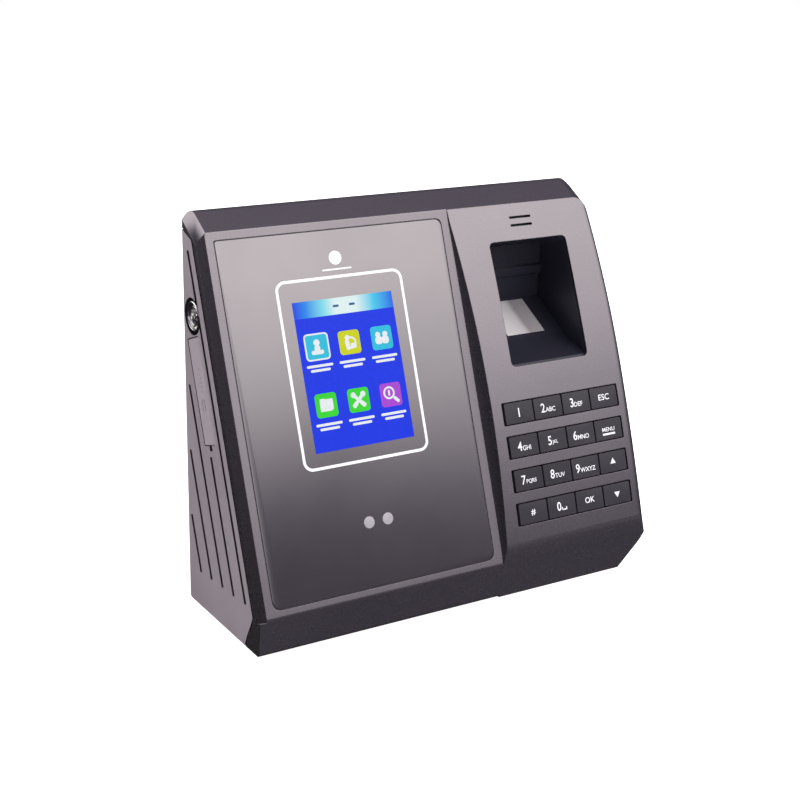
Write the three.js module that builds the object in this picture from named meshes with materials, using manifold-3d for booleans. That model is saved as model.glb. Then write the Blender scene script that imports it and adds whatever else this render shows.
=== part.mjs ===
// Fingerprint scanner terminal: a wedge-shaped casing for a desk or a wall. Its sloping face holds a
// tinted display window on the left and, on a gently domed section on the right, a finger well with an
// optical sensor above a keypad of sixteen keys.
//
// Lengths are millimetres. Almost everything is drawn in the face frame: +X right, +Y up the slope,
// +Z straight out of the face, with the origin at the centre of the display window. The stand frame
// has the same origin with +Y towards the back and +Z up. The last lines tilt the face frame into the
// stand frame and set the terminal down on z = 0.

import * as THREE from 'three';
import { mergeVertices } from 'three/addons/utils/BufferGeometryUtils.js';
import Module from 'manifold-3d';

// ---- driving dimensions ---------------------------------------------------------------------------

const TILT = THREE.MathUtils.degToRad(18); // the face leans back from the vertical
const WALL = 2.4;
const GAP = 0.3; // between pieces that touch
const FAR = 200; // past the casing in any direction

const LEFT = -55.1; // outer left side
const RIGHT = 125.4; // outer right side
const SIDE_BOW = 2.9; // how far the right side draws in towards the top
const FACE_TOP = 72.4;
const FACE_BOTTOM = -72;
const BASE_Z = -83.4; // stand frame: the flat underside
const CHIN_FOOT_Y = -20.3; // stand frame: foot of the short front wall below the face
const BACK_FOOT_Y = 44.8; // stand frame: foot and head of the back
const BACK_HEAD = [35.9, 77.2];
const EDGE_CHAMFER = 2.9; // along the left edge of the face
const TOP_CHAMFER = [3.4, 4.4]; // along the left end of the top: across, down
const TOP_ROUND = 7; // along the right end of the top
const BACK_ROUND = 12; // up the right end of the back
const FOOT_CORNER = [12.4, 13.5]; // cut across the lower right corner
const SEAM_DEPTH = 5.6;
const SEAM_GAP = 0.9; // the casing parts this far below the face

const DOME = { left: 52, radius: 830, height: 4.2, middle: -9.3, footHeight: 1.2, stepCurve: 1.6, edgeRound: 4 };

const WINDOW = { width: 97.7, height: 137.8, corners: [4, 4, 3, 1], thick: 1.5 };
const DISPLAY = { x: -0.2, y: 14, width: 50, height: 69, thick: 4.2, viewWidth: 46, viewHeight: 60.4 };
const LENS = { x: 4.1, y: -44.1, radius: 2.5 };
const SPEAKER_SLOTS = { x: 86.6, rows: [63, 66.3], width: 10.6, height: 0.9 };

const KEY = { width: 13.6, height: 8.5, pitchX: 14.3, pitchY: 13.65, firstX: 68.75, firstY: -12.75, travel: 1 };
const KEY_NAMES = [
  ['key_1', 'key_2', 'key_3', 'key_esc'],
  ['key_4', 'key_5', 'key_6', 'key_menu'],
  ['key_7', 'key_8', 'key_9', 'key_up'],
  ['key_hash', 'key_0', 'key_ok', 'key_down'],
];
const KEY_SLOT = { left: 60.9, right: 119.3, height: 9.4 };
const KEY_FOOT = -1; // every key reaches down to this height
const MAT_TOP = KEY_FOOT - KEY.travel - GAP;

const WELL = { left: 69, right: 107.2, bottom: 5.6, top: 56.8, corner: 2.5, rim: 1.3, flange: 2 };
// The finger well's section, as [up the face, out of the face]: lip, ramp, sensor seat, back, ceiling.
const WELL_SECTION = [[5.6, 20], [5.6, 3.9], [15.9, -9.5], [18.3, -11.3], [34.8, -25.3], [56.8, -16.4], [56.8, 20]];
const WELL_OUTSIDE = [[3.6, 20], [3.6, 3], [14.8, -11], [17.6, -13.1], [34.4, -27], [58.8, -17.5], [58.8, 20]];
const PRISM = { left: 79.6, right: 98.6, section: [[18.7, -11.3], [34.2, -24.5], [33.6, -25.6], [30, -26.3], [18.7, -22.5]] };

const JACK = { y: 43.8, z: -17.4, well: 7.2, ring: 5.9, bore: 3.2, pin: 1, length: 14 };
const FLAP = { top: 35.9, bottom: -5, shallow: -15.3, deep: -25.7, thick: 1.2, notch: 2.4 };
const USB = { y: 12, z: -19.8, width: 13, height: 6.4 };
// The five slots in the left side: height out of the face, lower end, upper end.
const SIDE_SLOTS = [[-11.3, -65.7, 68], [-21.6, -63.1, -9.6], [-31.5, -60.2, 19], [-41.7, -57.6, -6], [-51.8, -55, -31.6]];
const SIDE_SLOT_WIDTH = 1.9;

const SCREW = { head: 2.8, headHeight: 1.8, shank: 1.4, length: 9, seat: -11, well: 3.3, column: 4.9, post: 3.6 };
const SCREW_PLACES = [[-47, 62], [117, 59], [-47, -58], [54.3, -58]];
const WIRING = { x: 20, along: -12, width: 40, height: 16 };
const PLATE = { width: 128, height: 104, thick: 1.2, x: 35, along: 4, keyhole: [46, 36] };

// ---- helpers: frames, outlines and solids ---------------------------------------------------------

const wasm = await Module();
wasm.setup();

function solid(geometry) {
  const bare = geometry.clone();
  bare.deleteAttribute('normal');
  bare.deleteAttribute('uv');
  const merged = mergeVertices(bare, 1e-4);
  return new wasm.Manifold(new wasm.Mesh({
    numProp: 3,
    vertProperties: new Float32Array(merged.attributes.position.array),
    triVerts: new Uint32Array(merged.index.array),
  }));
}

function geometryOf(manifold) {
  const mesh = manifold.getMesh();
  const geometry = new THREE.BufferGeometry();
  geometry.setAttribute('position', new THREE.BufferAttribute(mesh.vertProperties, 3));
  geometry.setIndex(new THREE.BufferAttribute(mesh.triVerts, 1));
  geometry.computeVertexNormals();
  return geometry;
}

// A point of the stand frame, [back, up], in the face frame, [up the face, out of the face].
function onFace([back, up]) {
  return [up * Math.cos(TILT) + back * Math.sin(TILT), up * Math.sin(TILT) - back * Math.cos(TILT)];
}

function shapeOf(points) {
  return new THREE.Shape(points.map(([x, y]) => new THREE.Vector2(x, y)));
}

// A polygon with each corner rounded by the radius given for it.
function roundedShape(points, radii) {
  const shape = new THREE.Shape();
  points.forEach(([x, y], i) => {
    const corner = new THREE.Vector2(x, y);
    const before = new THREE.Vector2(...points.at(i - 1)).sub(corner);
    const after = new THREE.Vector2(...points[(i + 1) % points.length]).sub(corner);
    const half = Math.acos(before.clone().normalize().dot(after.clone().normalize())) / 2;
    const reach = radii[i] / Math.tan(half);
    const start = corner.clone().add(before.setLength(reach));
    const end = corner.clone().add(after.setLength(reach));
    if (i === 0) shape.moveTo(start.x, start.y);
    else shape.lineTo(start.x, start.y);
    if (reach > 0) shape.quadraticCurveTo(corner.x, corner.y, end.x, end.y);
  });
  shape.closePath();
  return shape;
}

function roundedRectangle(left, bottom, right, top, radius) {
  const corners = [[left, bottom], [right, bottom], [right, top], [left, top]];
  return roundedShape(corners, corners.map(() => radius));
}

// A convex polygon, given anticlockwise, with every side moved in by a distance.
function inset(points, distance) {
  const sides = points.map(([x, y], i) => {
    const [nextX, nextY] = points[(i + 1) % points.length];
    const length = Math.hypot(nextX - x, nextY - y);
    const normal = [(y - nextY) / length, (nextX - x) / length];
    return { normal, offset: normal[0] * x + normal[1] * y + distance };
  });
  return sides.map((side, i) => {
    const previous = sides.at(i - 1);
    const [a, b] = previous.normal;
    const [c, d] = side.normal;
    const determinant = a * d - b * c;
    return [(previous.offset * d - b * side.offset) / determinant, (a * side.offset - previous.offset * c) / determinant];
  });
}

function extrude(shape, depth, options = {}) {
  return new THREE.ExtrudeGeometry(shape, { depth, bevelEnabled: false, curveSegments: 6, ...options });
}

// A shape drawn on the face, [x, y], given thickness from one height to another.
function slab(shape, low, high, options) {
  return extrude(shape, high - low, options).translate(0, 0, low);
}

// A shape drawn in the side view, [y, z], given width from one x to another.
function sideways(shape, left, right, options) {
  const turn = new THREE.Matrix4().makeBasis(
    new THREE.Vector3(0, 1, 0), new THREE.Vector3(0, 0, 1), new THREE.Vector3(1, 0, 0));
  return extrude(shape, right - left, options).applyMatrix4(turn).translate(left, 0, 0);
}

// A shape drawn across the face, [x, z], given length from one y to another.
function upward(shape, bottom, top, options) {
  const turn = new THREE.Matrix4().makeBasis(
    new THREE.Vector3(1, 0, 0), new THREE.Vector3(0, 0, 1), new THREE.Vector3(0, -1, 0));
  return extrude(shape, top - bottom, options).applyMatrix4(turn).translate(0, top, 0);
}

// A shape drawn in the stand's front view, [x, up], run from the front to the back of the casing.
function backward(shape) {
  const turn = new THREE.Matrix4().makeBasis(
    new THREE.Vector3(1, 0, 0), new THREE.Vector3(0, ...onFace([0, 1])), new THREE.Vector3(0, ...onFace([-1, 0])));
  return extrude(shape, FAR).translate(0, 0, -FAR / 2).applyMatrix4(turn);
}

function block(left, right, bottom, top, low, high) {
  return new THREE.BoxGeometry(right - left, top - bottom, high - low)
    .translate((left + right) / 2, (bottom + top) / 2, (low + high) / 2);
}

// A round bar standing on the face.
function post(x, y, low, high, radius, sides = 20) {
  return new THREE.CylinderGeometry(radius, radius, high - low, sides)
    .rotateX(Math.PI / 2).translate(x, y, (low + high) / 2);
}

// A round bar lying across the terminal.
function crossBar(y, z, left, right, radius, sides = 32) {
  return new THREE.CylinderGeometry(radius, radius, right - left, sides)
    .rotateZ(Math.PI / 2).translate((left + right) / 2, y, z);
}

function cut(body, ...tools) {
  return tools.reduce((rest, tool) => rest.subtract(tool), body);
}

// ---- the casing's outer shape, and the same shape shrunk for its inside ---------------------------

const sideProfile = [
  [FACE_TOP, 0],
  onFace(BACK_HEAD),
  onFace([BACK_FOOT_Y, BASE_Z]),
  onFace([CHIN_FOOT_Y, BASE_Z]),
  [FACE_BOTTOM, 0],
].reverse();
const PROFILE_ROUNDS = [3.5, 2, 1.5, 3, 0.8];
const topDirection = new THREE.Vector3(0, ...onFace(BACK_HEAD)).sub(new THREE.Vector3(0, FACE_TOP, 0)).normalize();
const topNormal = new THREE.Vector3(0, -topDirection.z, topDirection.y);

function domeHeight(y) {
  return DOME.height - (y - DOME.middle) ** 2 / (2 * DOME.radius);
}

// Below the face the dome runs out, over a soft edge, into the plane of the short front wall.
const chinDirection = new THREE.Vector2(...onFace([CHIN_FOOT_Y, BASE_Z]))
  .sub(new THREE.Vector2(FACE_BOTTOM, 0)).normalize();
const domeFoot = new THREE.Vector2(FACE_BOTTOM, 0)
  .addScaledVector(chinDirection, -DOME.footHeight / -chinDirection.y);

// The domed right section. Its left end rises from the flat face in a hollow curve to a crisp edge,
// as far across as it is high, so the step is widest where the dome is highest.
function dome(shrink) {
  const softEdge = 5;
  const section = new THREE.Shape();
  section.moveTo(FACE_TOP + 0.5, -4);
  const arcSteps = 24;
  const arcEnd = domeFoot.x + softEdge;
  for (let i = 0; i <= arcSteps; i += 1) {
    const y = THREE.MathUtils.lerp(FACE_TOP + 0.5, arcEnd, i / arcSteps);
    section.lineTo(y, domeHeight(y) - shrink);
  }
  const foot = domeFoot.clone().add(new THREE.Vector2(shrink, -shrink));
  const wallStart = foot.clone().addScaledVector(chinDirection, softEdge);
  const wallEnd = foot.clone().addScaledVector(chinDirection, 25);
  section.quadraticCurveTo(foot.x, domeHeight(foot.x) - shrink, wallStart.x, wallStart.y);
  section.lineTo(wallEnd.x, wallEnd.y);
  section.lineTo(wallEnd.x + 4, wallEnd.y);
  section.lineTo(FACE_BOTTOM + 4, -4);
  const stepRows = 4;
  const width = stepRows + 1;
  const geometry = sideways(section, 0, width, { steps: width });
  const place = geometry.attributes.position;
  for (let i = 0; i < place.count; i += 1) {
    const along = Math.min(Math.round(place.getX(i)), width) / stepRows;
    const rise = Math.max(place.getZ(i) + shrink, 0);
    const raised = along > 1 ? 1 : along ** DOME.stepCurve;
    if (rise > 0) place.setZ(i, rise * raised - shrink - 0.4 * Math.max(1 - along, 0));
    place.setX(i, along > 1 ? RIGHT + 1 : DOME.left + shrink + along * Math.max(rise, 0.6));
  }
  return solid(geometry).intersect(betweenTopAndBase(shrink));
}

// The space between the planes of the top and of the base, and ahead of the back.
function betweenTopAndBase(shrink) {
  const reach = 12;
  const corners = [
    [FACE_TOP - topDirection.y * reach, -topDirection.z * reach],
    onFace(BACK_HEAD),
    onFace([BACK_FOOT_Y, BASE_Z]),
    onFace([CHIN_FOOT_Y - reach, BASE_Z]),
  ].reverse();
  return solid(sideways(shapeOf(inset(corners, shrink)), LEFT, RIGHT + 2));
}

// Cuts away the edge between the dome and the right side to a quarter round that follows both.
function domeEdgeCut() {
  const r = DOME.edgeRound;
  const section = new THREE.Shape();
  section.moveTo(RIGHT, -r);
  section.absarc(RIGHT - r, -r, r, 0, Math.PI / 2, false);
  section.lineTo(RIGHT - r, 6);
  section.lineTo(RIGHT + 6, 6);
  section.lineTo(RIGHT + 6, -r);
  const geometry = upward(section, FACE_BOTTOM - 6, FACE_TOP + 4, { steps: 26 });
  const place = geometry.attributes.position;
  for (let i = 0; i < place.count; i += 1) {
    const y = place.getY(i);
    place.setZ(i, place.getZ(i) + domeHeight(Math.max(y, domeFoot.x)));
    place.setX(i, place.getX(i) - SIDE_BOW * (Math.max(y, 0) / FACE_TOP) ** 2);
  }
  return solid(geometry);
}

// The face's outline: straight on the left and drawn in towards the top on the right.
function faceOutline(shrink) {
  const side = RIGHT - shrink;
  const far = FACE_TOP + 30;
  const outline = new THREE.Shape();
  outline.moveTo(LEFT + shrink, -far);
  outline.lineTo(side, -far);
  outline.lineTo(side, 0);
  outline.quadraticCurveTo(side, FACE_TOP / 2, side - SIDE_BOW, FACE_TOP);
  outline.lineTo(side - 1.8 * SIDE_BOW, far);
  outline.lineTo(LEFT + shrink, far);
  return outline;
}

// Cuts across the lower right corner, with a little rounding where the cut meets the side.
function footCornerCut(shrink) {
  const [across, up] = FOOT_CORNER;
  const side = RIGHT - shrink;
  const top = BASE_Z + up + shrink / 2;
  const slope = across / up;
  const round = 4;
  const corner = new THREE.Shape();
  corner.moveTo(side + 5, top + round);
  corner.lineTo(side, top + round);
  corner.quadraticCurveTo(side, top, side - slope * round, top - round);
  corner.lineTo(side - slope * (up + 10), top - up - 10);
  corner.lineTo(side + 5, top - up - 10);
  return solid(backward(corner));
}

// A shape drawn square to the top face, [x, out of the top], run from the front of the top to the back.

function alongTop(shape, reach = 60) {
  const turn = new THREE.Matrix4().makeBasis(
    new THREE.Vector3(1, 0, 0), topNormal, topDirection.clone().negate());
  const start = topDirection.clone().multiplyScalar(reach / 2);
  return extrude(shape, reach).applyMatrix4(turn)
    .translate(0, FACE_TOP + start.y, start.z);
}

function topLeftCut() {
  const [across, down] = TOP_CHAMFER;
  return solid(alongTop(shapeOf([[LEFT - across, -2 * down], [LEFT + 2 * across, down], [LEFT - across, down]])));
}

function topRightCut() {
  const side = RIGHT - SIDE_BOW;
  const section = new THREE.Shape();
  section.moveTo(side, -TOP_ROUND);
  section.absarc(side - TOP_ROUND, -TOP_ROUND, TOP_ROUND, 0, Math.PI / 2, false);
  section.lineTo(side - TOP_ROUND, TOP_ROUND);
  section.lineTo(side + TOP_ROUND, TOP_ROUND);
  section.lineTo(side + TOP_ROUND, -TOP_ROUND);
  return solid(alongTop(section));
}

// Rounds the upright edge between the back and the bowed right side.
function backEdgeCut(shrink) {
  const angle = new THREE.Vector2(...onFace(BACK_HEAD)).sub(new THREE.Vector2(...onFace([BACK_FOOT_Y, BASE_Z]))).angle();
  const [upY, upZ] = [Math.cos(angle), Math.sin(angle)];
  const side = RIGHT - shrink;
  const r = BACK_ROUND - shrink;
  const section = new THREE.Shape();
  section.moveTo(side, -r);
  section.absarc(side - r, -r, r, 0, Math.PI / 2, false);
  section.lineTo(side - r, r);
  section.lineTo(side + r, r);
  section.lineTo(side + r, -r);
  const turn = new THREE.Matrix4().makeBasis(
    new THREE.Vector3(1, 0, 0), new THREE.Vector3(0, upZ, -upY), new THREE.Vector3(0, upY, upZ));
  const [footY, footZ] = onFace([BACK_FOOT_Y, BASE_Z]);
  const geometry = extrude(section, FAR, { steps: 40 }).applyMatrix4(turn)
    .translate(0, footY - 15 * upY - shrink * upZ, footZ - 15 * upZ + shrink * upY);
  const place = geometry.attributes.position;
  for (let i = 0; i < place.count; i += 1) {
    place.setX(i, place.getX(i) - SIDE_BOW * (Math.max(place.getY(i), 0) / FACE_TOP) ** 2);
  }
  return solid(geometry);
}

function leftEdgeCut() {
  const c = EDGE_CHAMFER;
  const corner = shapeOf([[LEFT - c, -2 * c], [LEFT + 2 * c, c], [LEFT - c, c]]);
  return solid(upward(corner, FACE_BOTTOM - 0.5, FACE_TOP + FAR));
}

function casing(shrink = 0) {
  const rounds = PROFILE_ROUNDS.map((radius) => Math.max(radius - shrink, 0));
  const wedge = solid(sideways(roundedShape(inset(sideProfile, shrink), rounds), LEFT + shrink, RIGHT + 1));
  const body = wedge.add(dome(shrink)).intersect(solid(slab(faceOutline(shrink), -FAR, FAR)));
  const cornered = cut(body, footCornerCut(shrink), backEdgeCut(shrink));
  if (shrink > 0) return cornered;
  return cut(cornered, topLeftCut(), topRightCut(), leftEdgeCut(), domeEdgeCut());
}

const outer = casing();
const inner = casing(WALL);

// Everything ahead of the parting line: along the face, up behind the top and down behind the chin.
function aheadOfSeam(behind) {
  const line = [
    [-92, -29], [-81.5, -17.7], [-77.2, -13.2], [-73.2, -8.3], [-70.6, -SEAM_DEPTH], [71, -SEAM_DEPTH], [84, -22.3],
    [110, -22.3], [110, 30], [-130, 30], [-130, -29],
  ];
  return solid(sideways(shapeOf(line), LEFT - 5, RIGHT + 5).translate(0, 0, -behind));
}

// ---- front cover ----------------------------------------------------------------------------------

const displayTray = { halfWidth: 51.2, bottom: -70.5, top: 70.2, low: -4.2 };

function keySlots() {
  return KEY_NAMES.map((_, row) => {
    const y = KEY.firstY - row * KEY.pitchY;
    const half = KEY_SLOT.height / 2;
    return solid(slab(roundedRectangle(KEY_SLOT.left, y - half, KEY_SLOT.right, y + half, 0.6), -12, 12));
  });
}

function speakerSlots() {
  const { x, rows, width, height } = SPEAKER_SLOTS;
  return rows.map((y) => solid(slab(
    roundedRectangle(x - width / 2, y - height / 2, x + width / 2, y + height / 2, height / 2.1), -12, 12)));
}

function wellOpening(grow, low, high) {
  return solid(slab(roundedRectangle(
    WELL.left - grow, WELL.bottom - grow, WELL.right + grow, WELL.top + grow, WELL.corner + grow), low, high));
}

function frontCover() {
  const { halfWidth, bottom, top, low } = displayTray;
  const shell = outer.intersect(aheadOfSeam(0)).subtract(inner);
  const tray = solid(block(-halfWidth, halfWidth, bottom, top, low, -0.5));
  const posts = SCREW_PLACES.map(([x, y]) => solid(post(x, y, -7.6, -1, SCREW.post)));
  const body = [tray, ...posts].reduce((whole, piece) => whole.add(piece.intersect(outer)), shell);
  const pocket = solid(slab(windowShape(GAP), -WINDOW.thick - GAP, 3));
  const view = { x: DISPLAY.viewWidth / 2, y: DISPLAY.viewHeight / 2 };
  const viewHole = solid(block(
    DISPLAY.x - view.x, DISPLAY.x + view.x, DISPLAY.y - view.y, DISPLAY.y + view.y, -12, 3));
  const lensHoles = [-LENS.x, LENS.x].map((x) => solid(post(x, LENS.y, -12, 3, LENS.radius + GAP)));
  const screwHoles = SCREW_PLACES.map(([x, y]) => solid(post(x, y, -20, -2.2, SCREW.shank + GAP)));
  const rebate = wellOpening(WELL.flange + GAP, -30, 12).intersect(solid(slab(faceOutline(0), -30, 12)))
    .intersect(dome(WELL.rim - GAP).add(solid(block(DOME.left, RIGHT, -60, 60, -30, -1))));
  return cut(body, pocket, viewHole, ...lensHoles, ...keySlots(), ...speakerSlots(), wellOpening(0, -30, 12), rebate,
    ...screwHoles);
}

// ---- rear shell -----------------------------------------------------------------------------------

const backHead = new THREE.Vector2(...onFace(BACK_HEAD));
const backFoot = new THREE.Vector2(...onFace([BACK_FOOT_Y, BASE_Z]));
const backMiddle = backHead.clone().add(backFoot).multiplyScalar(0.5);
const backAngle = backHead.clone().sub(backFoot).angle();

// A shape drawn on the back, [x, up the back] from its middle, given thickness towards the front.
function onBack(shape, low, high) {
  return extrude(shape, high - low).translate(0, 0, low).rotateX(backAngle)
    .translate(0, backMiddle.x, backMiddle.y);
}

function wiringShape(grow) {
  const { x, along, width, height } = WIRING;
  return roundedRectangle(x - width / 2 - grow, along - height / 2 - grow, x + width / 2 + grow, along + height / 2 + grow, 2);
}

function flapShape(grow) {
  return roundedRectangle(FLAP.bottom - grow, FLAP.deep - grow, FLAP.top + grow, FLAP.shallow + grow, 0.9);
}

function rearShell() {
  const shell = cut(outer, aheadOfSeam(SEAM_GAP), inner);
  const backSide = solid(onBack(shapeOf([[LEFT - 5, -FAR], [RIGHT + 5, -FAR], [RIGHT + 5, FAR], [LEFT - 5, FAR]]), 0.4, FAR));
  const columns = SCREW_PLACES.map(([x, y]) => solid(post(x, y, -90, -8, SCREW.column)).intersect(outer).intersect(
    backSide.add(shell)));
  const body = columns.reduce((whole, piece) => whole.add(piece), shell);
  const wells = SCREW_PLACES.map(([x, y]) => solid(post(x, y, -FAR, SCREW.seat, SCREW.well)));
  const screwHoles = SCREW_PLACES.map(([x, y]) => solid(post(x, y, -FAR, 0, SCREW.shank + GAP)));
  const half = SIDE_SLOT_WIDTH / 2;
  const slots = SIDE_SLOTS.map(([z, bottom, top]) => solid(block(LEFT - 3, LEFT + WALL + 3, bottom, top, z - half, z + half)));
  const jackHole = solid(crossBar(JACK.y, JACK.z, LEFT - 3, LEFT + WALL + 3, JACK.well));
  const flapSeat = solid(sideways(flapShape(GAP), LEFT - 3, LEFT + FLAP.thick + GAP));
  const notch = solid(block(LEFT - 3, LEFT + FLAP.thick + GAP, FLAP.bottom - FLAP.notch, FLAP.bottom,
    FLAP.shallow - 6, FLAP.shallow - 6 + FLAP.notch));
  const usbHole = solid(block(LEFT - 3, LEFT + WALL + 3,
    USB.y - USB.width / 2, USB.y + USB.width / 2, USB.z - USB.height / 2, USB.z + USB.height / 2));
  const wiring = solid(onBack(wiringShape(0), -5, 5));
  return cut(body, ...wells, ...screwHoles, ...slots, jackHole, flapSeat, notch, usbHole, wiring);
}

// ---- pieces of the face ---------------------------------------------------------------------------

// The window's outline. Its upper left corner is nearly sharp.
function windowShape(grow) {
  const [x, y] = [WINDOW.width / 2 + grow, WINDOW.height / 2 + grow];
  return roundedShape([[-x, -y], [x, -y], [x, y], [-x, y]], WINDOW.corners);
}

function displayWindow() {
  const plate = solid(slab(windowShape(0), -WINDOW.thick, 0));
  const holes = [-LENS.x, LENS.x].map((x) => solid(post(x, LENS.y, -5, 3, LENS.radius + GAP / 2)));
  return cut(plate, ...holes);
}

function statusLens(x) {
  return post(x, LENS.y, -6.4, -0.05, LENS.radius - GAP / 2, 24);
}

function displayModule() {
  const { x, y, width, height, thick } = DISPLAY;
  const top = displayTray.low - GAP;
  const frame = solid(block(x - width / 2, x + width / 2, y - height / 2, y + height / 2, top - thick, top));
  const glass = solid(block(x - 22, x + 22, y - 29.2, y + 29.2, top - 1, -WINDOW.thick - 2 * GAP));
  return frame.add(glass);
}

// One key: a cap that follows the dome, a flange that keeps it in, and a foot over its switch.
function key(x, y) {
  const half = { x: KEY.width / 2, y: KEY.height / 2 };
  const surface = domeHeight(y);
  const cap = solid(slab(roundedRectangle(x - half.x, y - half.y, x + half.x, y + half.y, 0.5), surface - 3.9, surface + 3))
    .intersect(dome(-0.15));
  const flange = solid(block(x - half.x, x + half.x, y - half.y - 1.5, y + half.y + 1.5, surface - 3.9, surface - 3));
  const foot = solid(post(x, y, KEY_FOOT, surface - 3.4, 2.4, 16));
  return cap.add(flange).add(foot);
}

function forEachKey(visit) {
  KEY_NAMES.forEach((names, row) => names.forEach((name, column) => visit(
    name, KEY.firstX + column * KEY.pitchX, KEY.firstY - row * KEY.pitchY)));
}

// The silicone mat under the keys, with a blister over each switch.
function keypadMat() {
  let mat = solid(block(60, 120.2, -60, -6.4, MAT_TOP - 2, MAT_TOP - 1));
  forEachKey((name, x, y) => {
    mat = mat.add(solid(new THREE.CylinderGeometry(2.4, 3.6, 1.5, 10).rotateX(Math.PI / 2).translate(x, y, MAT_TOP - 0.75)));
  });
  return mat;
}

// ---- finger well and sensor -----------------------------------------------------------------------

function fingerWell() {
  const flange = WELL.flange;
  const outside = solid(sideways(shapeOf(WELL_OUTSIDE), WELL.left - flange, WELL.right + flange))
    .intersect(wellOpening(flange, -FAR, 12)).intersect(dome(WELL.rim).add(
      solid(block(DOME.left, RIGHT, -60, 70, -60, -1))));
  const hollow = solid(sideways(shapeOf(WELL_SECTION), WELL.left, WELL.right)).intersect(wellOpening(0, -FAR, 30));
  const step = solid(sideways(shapeOf([[44, -24], [44, -19.9], [47.2, -18.4], [50, -24]]), WELL.left, WELL.right))
    .intersect(outside);
  const seat = solid(sideways(shapeOf(inset([...PRISM.section].reverse(), -GAP)), PRISM.left - GAP, PRISM.right + GAP));
  const way = solid(block(PRISM.left - GAP, PRISM.right + GAP, 18.4, 30, -34, -23));
  return cut(outside.subtract(hollow).add(step), seat, way);
}

function sensorPrism() {
  return sideways(shapeOf(PRISM.section), PRISM.left, PRISM.right);
}

// The sensor's board, with the barrel of its camera.
function sensorBoard() {
  const board = solid(block(73, 104, -7, 16.5, -28.6, -27));
  return board.add(solid(post(89, 6.5, -27.5, -20.5, 4.2, 24)));
}

// ---- boards, sockets, speaker ---------------------------------------------------------------------

function mainBoard() {
  const board = solid(block(-40, 49, -57, 50, -15.6, -14));
  const chip = solid(block(-12, 6, -6, 12, -16.9, -15.3));
  const shield = solid(block(16, 40, 14, 40, -17.6, -15.3));
  return board.add(chip).add(shield);
}

function wiringSocket() {
  const body = solid(block(2, 38, -47, -35, -27.5, -15.6 - GAP));
  const ways = [0, 1, 2, 3, 4, 5].map((i) => solid(block(4.4 + i * 5.5, 7.4 + i * 5.5, -44, -38, -30, -24)));
  return cut(body, ...ways);
}

function dcJack() {
  const sides = 32;
  const ring = solid(crossBar(JACK.y, JACK.z, LEFT, LEFT + 4, JACK.ring, sides));
  const barrel = solid(crossBar(JACK.y, JACK.z, LEFT + 3, LEFT + JACK.length, JACK.ring - 1, sides));
  const bore = solid(crossBar(JACK.y, JACK.z, LEFT - 1, LEFT + JACK.length - 3, JACK.bore, 24));
  const pin = solid(crossBar(JACK.y, JACK.z, LEFT + 1.5, LEFT + JACK.length - 2, JACK.pin, 12));
  return ring.add(barrel).subtract(bore).add(pin);
}

function usbPort() {
  const half = { y: USB.width / 2 - GAP, z: USB.height / 2 - GAP };
  const left = LEFT + FLAP.thick + 2 * GAP;
  const body = solid(block(left, left + 14, USB.y - half.y, USB.y + half.y, USB.z - half.z, USB.z + half.z));
  const mouth = solid(block(left - 1, left + 8, USB.y - half.y + 0.6, USB.y + half.y - 0.6, USB.z - 0.4, USB.z + half.z - 0.7));
  return body.subtract(mouth);
}

// The rubber flap over the port. Its upper end is a round bar that turns in the seat.
function portFlap() {
  const r = FLAP.thick / 2;
  const plate = solid(sideways(roundedRectangle(FLAP.bottom, FLAP.deep, FLAP.top - r, FLAP.shallow, 0.8), LEFT, LEFT + FLAP.thick));
  const roll = solid(new THREE.CylinderGeometry(r, r, FLAP.shallow - FLAP.deep, 16)
    .rotateX(Math.PI / 2).translate(LEFT + r, FLAP.top - r, (FLAP.shallow + FLAP.deep) / 2));
  return plate.add(roll);
}

function speaker() {
  const { x, rows } = SPEAKER_SLOTS;
  const middle = (rows[0] + rows[1]) / 2;
  const body = solid(slab(roundedRectangle(x - 10, middle - 4.6, x + 10, middle + 4.6, 1.5), -6.2, -2.4));
  return body.add(solid(slab(roundedRectangle(x - 7.5, middle - 3.2, x + 7.5, middle + 3.2, 2.4), -3, -2)));
}

// ---- screws and wall plate ------------------------------------------------------------------------

function caseScrew(x, y) {
  const { head, headHeight, shank, length, seat } = SCREW;
  const outline = [[0, -headHeight], [head * 0.8, -headHeight], [head, -headHeight * 0.6], [head, -GAP], [shank, -GAP],
    [shank, length - 1.4], [0, length]];
  const body = solid(new THREE.LatheGeometry(outline.map(([r, h]) => new THREE.Vector2(r, h)), 20).rotateX(Math.PI / 2)
    .translate(x, y, seat));
  const slots = [[3.2, 0.7], [0.7, 3.2]].map(([w, h]) => solid(block(
    x - w / 2, x + w / 2, y - h / 2, y + h / 2, seat - headHeight - 1, seat - headHeight + 0.9)));
  return cut(body, ...slots);
}

function wallPlate() {
  const { width, height, thick, x, along, keyhole } = PLATE;
  const sheet = solid(extrude(roundedRectangle(
    x - width / 2, along - height / 2, x + width / 2, along + height / 2, 5), thick));
  const holes = [-1, 1].flatMap((side) => [-1, 1].map((rise) => {
    const [dx, dy] = [x + side * keyhole[0], along + rise * keyhole[1]];
    return solid(post(dx, dy, -5, 5, 3.6)).add(solid(block(dx - 1.8, dx + 1.8, dy, dy + 7, -5, 5)));
  }));
  const wiring = solid(extrude(wiringShape(3), 10).translate(0, 0, -5));
  return cut(sheet, ...holes, wiring);
}

// ---- the assembly ---------------------------------------------------------------------------------

function material(color, roughness, metalness = 0, options = {}) {
  return new THREE.MeshStandardMaterial({ color, roughness, metalness, ...options });
}

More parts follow.
